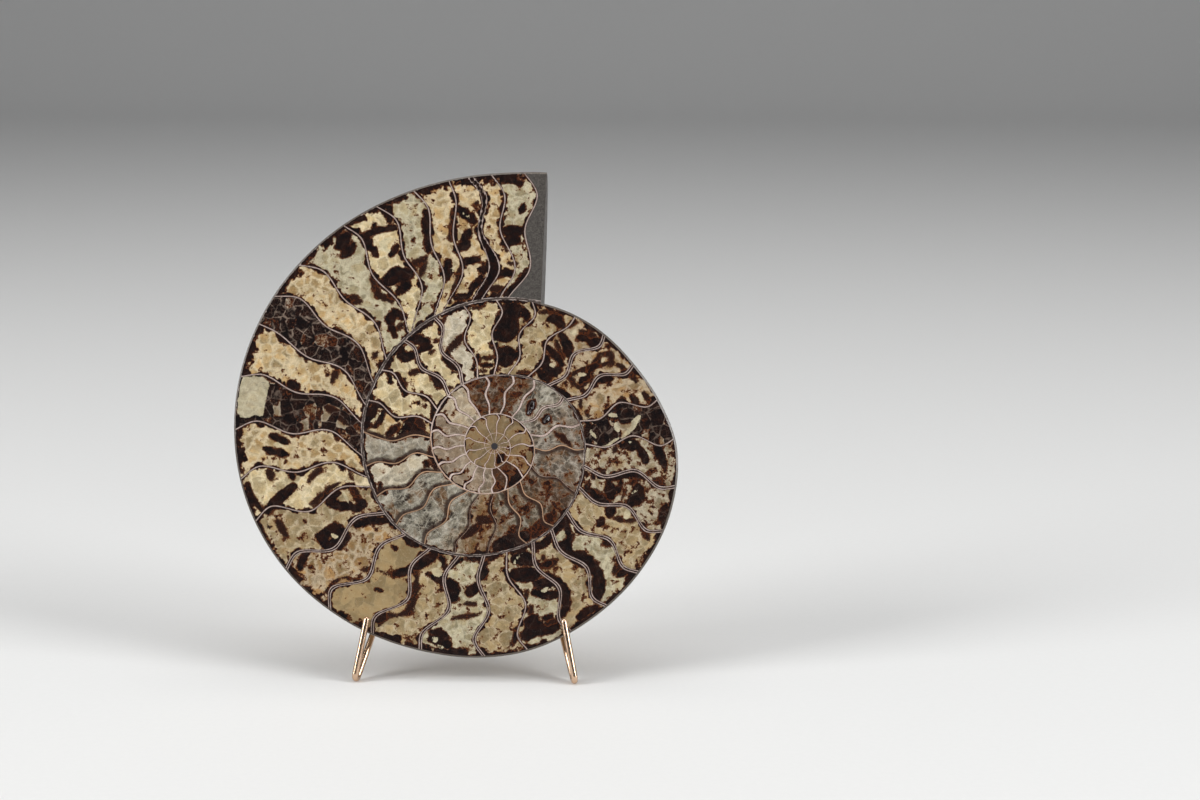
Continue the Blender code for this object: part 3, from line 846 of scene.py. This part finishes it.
def section_material():
    """The polished section: crystal-filled chambers, septa, whorl walls, dark marks and the sawn matrix."""
    n = Nodes("polished_section")
    bent = n.moved(2.6, 0.8)
    phase, half, gap = n.facts("septum")
    brownness = n.fact("septum", "Alpha")
    from_outer, to_inner, width = n.facts("walls")
    dark, brown, pale = n.facts("marks")
    honey, grey, whites = n.facts("filling")
    own = n.fact("tint", "Color")
    net = n.fact("tint", "Alpha")

    # Noise of several sizes, and two sizes of crystals.
    slow = n.noise(6, 3)
    cloud = n.noise(2.6, 6, 0.62)
    patch = n.noise(3, place=bent)
    medium = n.noise(1.1, 5, 0.62)
    quick = n.noise(0.38, 4, 0.7)
    grain = n.noise(0.24, 3, 0.8)
    large = n.cells(bent, 3.5)
    large_edge = n.to_edge(bent, 3.5)
    drift = n.noise(4.5, 5, 0.65)
    radius = n.node("VectorMath", "Value", {0: n.place}, operation="LENGTH")
    small_place = n.moved(0.9, 0.3)
    small = n.cells(small_place, 1.1)
    small_edge = n.to_edge(small_place, 1.1)
    tips = n.node("TexVoronoi", "Distance", {"Vector": n.place, "Scale": 1 / 0.42})

    # Distances from the septa and the whorl walls.
    share, nearest = n.between_septa(phase)
    to_septum = nearest * width + 0.05 * n.noise(1.3, 3)
    beyond = abs(to_septum - gap) - half
    wavy = 0.12 * (n.noise(2.2) + medium)
    outer_depth = from_outer + wavy
    inner_depth = to_inner + wavy
    to_wall = n.least(from_outer, to_inner)

    # How deep each place is inside the marks, with ragged outlines.
    lining = 1.4 * n.noise(3.4, 2) + 0.3 - to_septum
    to_edge = n.least(from_outer - 0.1, to_inner)
    edging = 1.5 * n.noise(3.8, 3, place=bent) + 0.9 * slow + 0.9 - 0.9 * to_edge
    natural = n.most(lining, edging) - 0.9 * grey + n.ramp(width, 2.5, 5.5, -1.4, 0)
    web = patch + n.ramp(net, 0.42, 0.5) * (2.5 * large[2] - 0.9 + 0.25 * medium - patch)
    netted = 1.5 * net - 1.3 + 0.9 * web
    ragged = 0.3 * patch + 0.28 * medium + 0.1 * quick + 0.45 * tips + 0.2 * small[1] - 0.3
    marked = n.most(dark, netted) + ragged
    dark_depth = n.most(marked, natural + 0.7 * ragged) + 0.28
    stain_depth = brown + 1.1 * ragged + 0.2
    pale_depth = pale + 0.8 * ragged

    # The crystals: their own colour, honey stain, white grains, grey clouds, rust and veins.
    n.body = n.scaled(own, n.ramp(slow + 1.2 * large[0] - 0.6, -0.7, 0.6, 0.72, 1.12))
    n.tint(honey * n.ramp(drift + 0.5 * large[1] - 0.25, -0.5, 0.5), HONEY_STAIN)
    n.tint(n.ramp(large_edge, 0.1, 1.3) * (0.15 + 0.6 * honey), CRYSTAL_HEART)
    rim = n.ramp(n.least(to_septum, 1.1 * to_wall), 0.2, 1.6, 0.55, 0)
    rim = n.most(rim, n.ramp(dark_depth, -1.5, -0.3, 0, 0.6))
    crust = n.ramp(large_edge + 0.3 * medium + 0.12 * quick, 0, 1, 0.7, -0.3) * n.ramp(whites, 0, 0.4)
    white = 0.8 * cloud + rim + crust + 0.25 * grain + 0.9 * whites - 0.6
    lighter = n.scaled(n.mix(0.25, n.scaled(own, 1.5), WHITE), n.ramp(grain, -0.5, 0.5, 0.62, 1.05))
    n.paint(n.ramp(white, 0.25, 0.75, 0, 0.85), lighter)
    clouded = 1.05 * drift + 0.5 * medium + 0.3 * quick
    n.paint(grey * n.ramp(clouded, 0.1, 1, 0, 0.9), n.mix(0.45, n.scaled(own, 1.7), CLOUD_WHITE))
    n.paint(grey * n.ramp(clouded, -0.65, 0.15, 1, 0), MOTTLE)
    n.paint(grey * n.ramp(slow + 0.5 * cloud, 0, 0.7, 0, 0.85), CLOUD_BROWN)
    rust = medium + 0.6 * small[2] + 0.5 * cloud + 0.35 * net - 0.4 * grey + 0.2 * whites - 1.4
    n.paint(n.ramp(rust, 0.1, 0.6, 0, 0.75), RUST)
    lit = 0.72 + 0.3 * grey * grain + 0.22 * large[1] + 0.26 * small[0] + 0.28 * quick + 0.16 * medium
    lit = 0.95 + n.ramp(whites, 0, 0.3) * (lit - 0.95)
    n.body = n.scaled(n.body, lit)
    vein = n.ramp(large_edge + 0.06 * quick, 0.02, 0.2, 1, 0) * n.ramp(cloud, -0.5, 0.5, 0.1, 0.7)
    vein = vein * n.ramp(whites, 0, 0.3)
    small_vein = n.ramp(small_edge, 0, 0.09, 1, 0) * n.ramp(medium, -0.3, 0.6, 0, 0.35)
    n.paint(n.most(vein, small_vein), n.mix(0.35, n.scaled(own, 1.5), VEIN))
    clean = n.body

    # The marks over them: halos, brown stains, black marks with brown fringes, and pale crystals.
    halo = n.ramp(n.most(dark_depth, stain_depth), -0.55, -0.15, 0, 0.7)
    n.paint(halo * n.ramp(patch, -0.6, 0.5), HALO)
    brown_color = n.mix(n.ramp(medium + 0.5 * slow, -0.6, 0.6), BROWN_DEEP, BROWN_WARM)
    n.paint(n.ramp(stain_depth, -0.2, 0.1, 0, 0.96), brown_color)
    n.paint(n.ramp(stain_depth, 0.15, 0.6, 0, 0.85), BROWN_DEEP)
    n.paint(n.ramp(dark_depth, -0.38, -0.14, 0, 0.97), FRINGE)
    black = n.mix(n.ramp(patch + 0.5 * medium, -0.5, 0.6), BLACK, CHOCOLATE)
    warm = n.ramp(cloud + 0.3 * quick, 0.1, 0.8, 0, 0.85) * n.ramp(dark_depth, 0.2, 0.9, 1, 0.1)
    black = n.mix(warm, black, BROWN_WARM)
    n.paint(n.ramp(dark_depth, -0.05, 0.16), black)
    in_net = n.ramp(net, 0.3, 0.9, 0.04, 0.8) * n.ramp(net, 1.2, 2, 1, 0) * n.ramp(patch, -0.4, 0.4)
    dark_vein = n.most(n.ramp(large_edge, 0.05, 0.3, 1, 0), n.ramp(small_edge, 0, 0.07, 0.3, 0))
    n.paint(n.ramp(dark_depth, 0.1, 0.5) * in_net * dark_vein, DARK_VEIN)
    pale_color = n.mix(0.55, clean, n.scaled(PALE_CRYSTAL, lit))
    n.paint(n.ramp(pale_depth, -0.05, 0.12, 0, 0.95), pale_color)

    # The living chamber's matrix, the septa and the whorl walls.
    matrix = n.mix(n.ramp(quick + 0.6 * medium, -0.8, 0.9), MATRIX_DARK, MATRIX)
    matrix = n.mix(n.ramp(tips, 0.05, 0.12, 1, 0) * n.ramp(medium, 0, 0.6), matrix, MATRIX_FLECK)
    n.paint(n.ramp(phase + 0.01 * quick, -0.04, 0, 1, 0), matrix)
    septum_color = n.mix(n.ramp(quick + 0.7 * cloud, -0.7, 0.7), SEPTUM_DEEP, SEPTUM)
    septum_color = n.mix(brownness, septum_color, SEPTUM_BROWN)
    septum_color = n.scaled(septum_color, n.ramp(radius, 22, 30, 1, 0.7))
    leeward = brownness * n.ramp(share, 0.4, 0.6) * (0.8 + 0.4 * medium)
    shadow = n.ramp(beyond, 0.02 + leeward, 0.32 + 1.7 * leeward, 0.88, 0)
    n.paint(shadow * n.ramp(width, 1.5, 5, 0.3, 1), SEPTUM_EDGE)
    n.paint(n.ramp(beyond, -0.02, 0.07, 1, 0), septum_color)
    layers = n.math("SINE", 24 * (inner_depth + 0.1 * quick))
    wall = n.mix(n.ramp(layers + 1.2 * medium + 0.5 * quick, -0.6, 1.2), WALL_DARK, WALL)
    wall = n.mix(n.ramp(radius, 20.5, 22.5, 1, 0), wall, septum_color)
    n.paint(n.ramp(inner_depth, 0.34, 0.64, 1, 0), wall)
    n.paint(n.ramp(outer_depth, 0.14, 0.32, 1, 0), wall)
    n.paint(n.ramp(abs(outer_depth - 0.3), 0.04, 0.15, 0.9, 0) * n.ramp(cloud, -0.4, 0.3), WALL_LINE)
    n.paint(n.ramp(abs(inner_depth - 0.55), 0.04, 0.15, 0.8, 0) * n.ramp(cloud, 0.4, -0.3), WALL_LINE)
    n.paint(n.ramp(radius + 0.1 * quick, 0.9, 1.2, 1, 0), FIRST_CHAMBER)

    height = 0.12 * quick - 0.3 * vein + n.ramp(beyond, 0, 0.2, 0.5, 0)
    rough = n.ramp(quick + 0.8 * vein, -0.6, 1.2, 0.14, 0.3)
    return n.finish(rough, Normal=n.bump(height, 0.03), Coat_Weight=0.35, Coat_Roughness=0.06)


def shell_material():
    """The rounded outside, ground smooth: tan shell with brown patches and the septa's frilled edges."""
    n = Nodes("ground_shell")
    phase, _, _ = n.facts("septum")
    run, _, width = n.facts("walls")
    slow = n.noise(9)
    medium = n.noise(2.5, 5, 0.65)
    quick = n.noise(0.7, 4, 0.7)
    cells = n.cells(n.moved(2, 0.7), 2.4)
    n.body = n.mix(n.ramp(slow, -0.6, 0.6), SHELL_TAN, SHELL_PALE)
    n.paint(n.ramp(medium + 0.7 * slow, 0.1, 0.8, 0, 0.85), SHELL_BROWN)
    n.body = n.scaled(n.body, 0.85 + 0.25 * cells[0] + 0.08 * quick)
    frilled = phase + 0.05 * medium
    for sway, rate in FRILLS:
        frilled = frilled + sway * n.math("SINE", rate * run)
    _, nearest = n.between_septa(frilled)
    line = n.ramp(nearest * width, 0.12, 0.32, 0.85, 0)
    n.paint(line, SHELL_LINE)
    n.paint(n.ramp(run + 0.4 * medium, 0.5, 1.8, 0.95, 0), SHELL_EDGE)
    height = 0.3 * quick - 0.5 * line
    rough = n.ramp(medium, -0.7, 0.7, 0.24, 0.42)
    return n.finish(rough, Normal=n.bump(height, 0.06), Coat_Weight=0.2, Coat_Roughness=0.15)


def matrix_material():
    """The sawn end of the living chamber: fine grey-brown stone with pale and dark specks."""
    n = Nodes("sawn_matrix")
    medium = n.noise(3, 5, 0.65)
    quick = n.noise(0.4, 5, 0.75)
    cells = n.cells(n.place, 0.5)
    n.body = n.mix(n.ramp(medium + quick, -0.8, 0.8), MATRIX_DARK, MATRIX)
    n.paint(n.ramp(cells[0], 0.9, 0.96), MATRIX_FLECK)
    return n.finish(n.ramp(quick, -0.6, 0.6, 0.45, 0.7), Normal=n.bump(quick, 0.05))


def wire_material():
    """Polished rose gold wire with faint drawing marks and a slight tarnish."""
    n = Nodes("rose_gold_wire_polished")
    slow = n.noise(12, 3)
    quick = n.noise(0.25, 3, 0.7)
    n.body = n.mix(n.ramp(slow, -0.5, 0.6), ROSE_GOLD, ROSE_GOLD_DEEP)
    n.body = n.scaled(n.body, 0.97 + 0.05 * quick)
    rough = n.ramp(slow + 0.5 * quick, -0.7, 0.7, 0.1, 0.2)
    return n.finish(rough, Metallic=1, Normal=n.bump(quick, 0.008))


def backdrop_material():
    """Pale paper with a very faint grain."""
    n = Nodes("pale_paper")
    n.body = n.scaled(PAPER, 1 + 0.01 * n.noise(2, 3))
    return n.finish(PAPER_ROUGHNESS)


def add_piece(name, mesh, materials):
    piece = bpy.data.objects.new(name, mesh)
    bpy.context.scene.collection.objects.link(piece)
    for material in materials:
        mesh.materials.append(material)
    mesh.shade_smooth()
    mesh.set_sharp_from_angle(angle=SHARP_FROM)
    return piece


def make_floor():
    """A pale sheet of paper: floor, a wide sweep and a wall behind."""
    profile = [(-FLOOR_REACH, 0.0)]
    for k in range(SWEEP_STEPS + 1):
        turn = math.radians(90 * k / SWEEP_STEPS)
        profile.append((FLOOR_REACH - SWEEP + SWEEP * math.sin(turn), SWEEP * (1 - math.cos(turn))))
    profile.append((FLOOR_REACH, WALL_HEIGHT))
    points = [(x, y, z) for y, z in profile for x in (-FLOOR_SIDE, FLOOR_SIDE)]
    faces = [(2 * k, 2 * k + 1, 2 * k + 3, 2 * k + 2) for k in range(len(profile) - 1)]
    mesh = bpy.data.meshes.new("paper_floor")
    mesh.from_pydata(points, [], faces)
    add_piece("paper_floor", mesh, [backdrop_material()])


def light_scene():
    """Three soft boxes, unseen by the camera, and a dim pale world."""
    for name, (place, size, power) in LIGHTS.items():
        light = bpy.data.lights.new(name, "AREA")
        light.shape = "RECTANGLE"
        light.size, light.size_y = size
        light.energy = power
        box = bpy.data.objects.new(name, light)
        box.location = place
        box.rotation_euler = (LIGHT_TARGET - Vector(place)).to_track_quat("-Z", "Y").to_euler()
        box.visible_camera = False
        bpy.context.scene.collection.objects.link(box)
    world = bpy.data.worlds.new("studio")
    world.use_nodes = True
    background = world.node_tree.nodes["Background"].inputs
    background["Color"].default_value = WORLD_COLOR
    background["Strength"].default_value = WORLD_STRENGTH
    bpy.context.scene.world = world


def add_camera():
    data = bpy.data.cameras.new("photo_camera")
    data.lens = CAMERA_LENS
    data.sensor_width = CAMERA_SENSOR
    camera = bpy.data.objects.new("photo_camera", data)
    camera.location = CAMERA_PLACE * MM
    camera.rotation_euler = (math.radians(90 - CAMERA_PITCH), 0, math.radians(CAMERA_YAW))
    bpy.context.scene.collection.objects.link(camera)
    bpy.context.scene.camera = camera


fossil_looks = [section_material(), shell_material(), matrix_material()]
fossil = add_piece("ammonite_half_polished", fossil_mesh(), fossil_looks)
fossil.location = SPIRAL_CENTRE
fossil.rotation_euler = (math.pi / 2 - LEAN, 0, 0)
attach(fossil, "root")
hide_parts("ammonite_half")

wire = add_piece("wire_stand_smooth", wire_mesh(), [wire_material()])
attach(wire, "root")
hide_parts("wire_stand")

make_floor()
light_scene()
add_camera()
bpy.context.scene.view_settings.view_transform = "Standard"
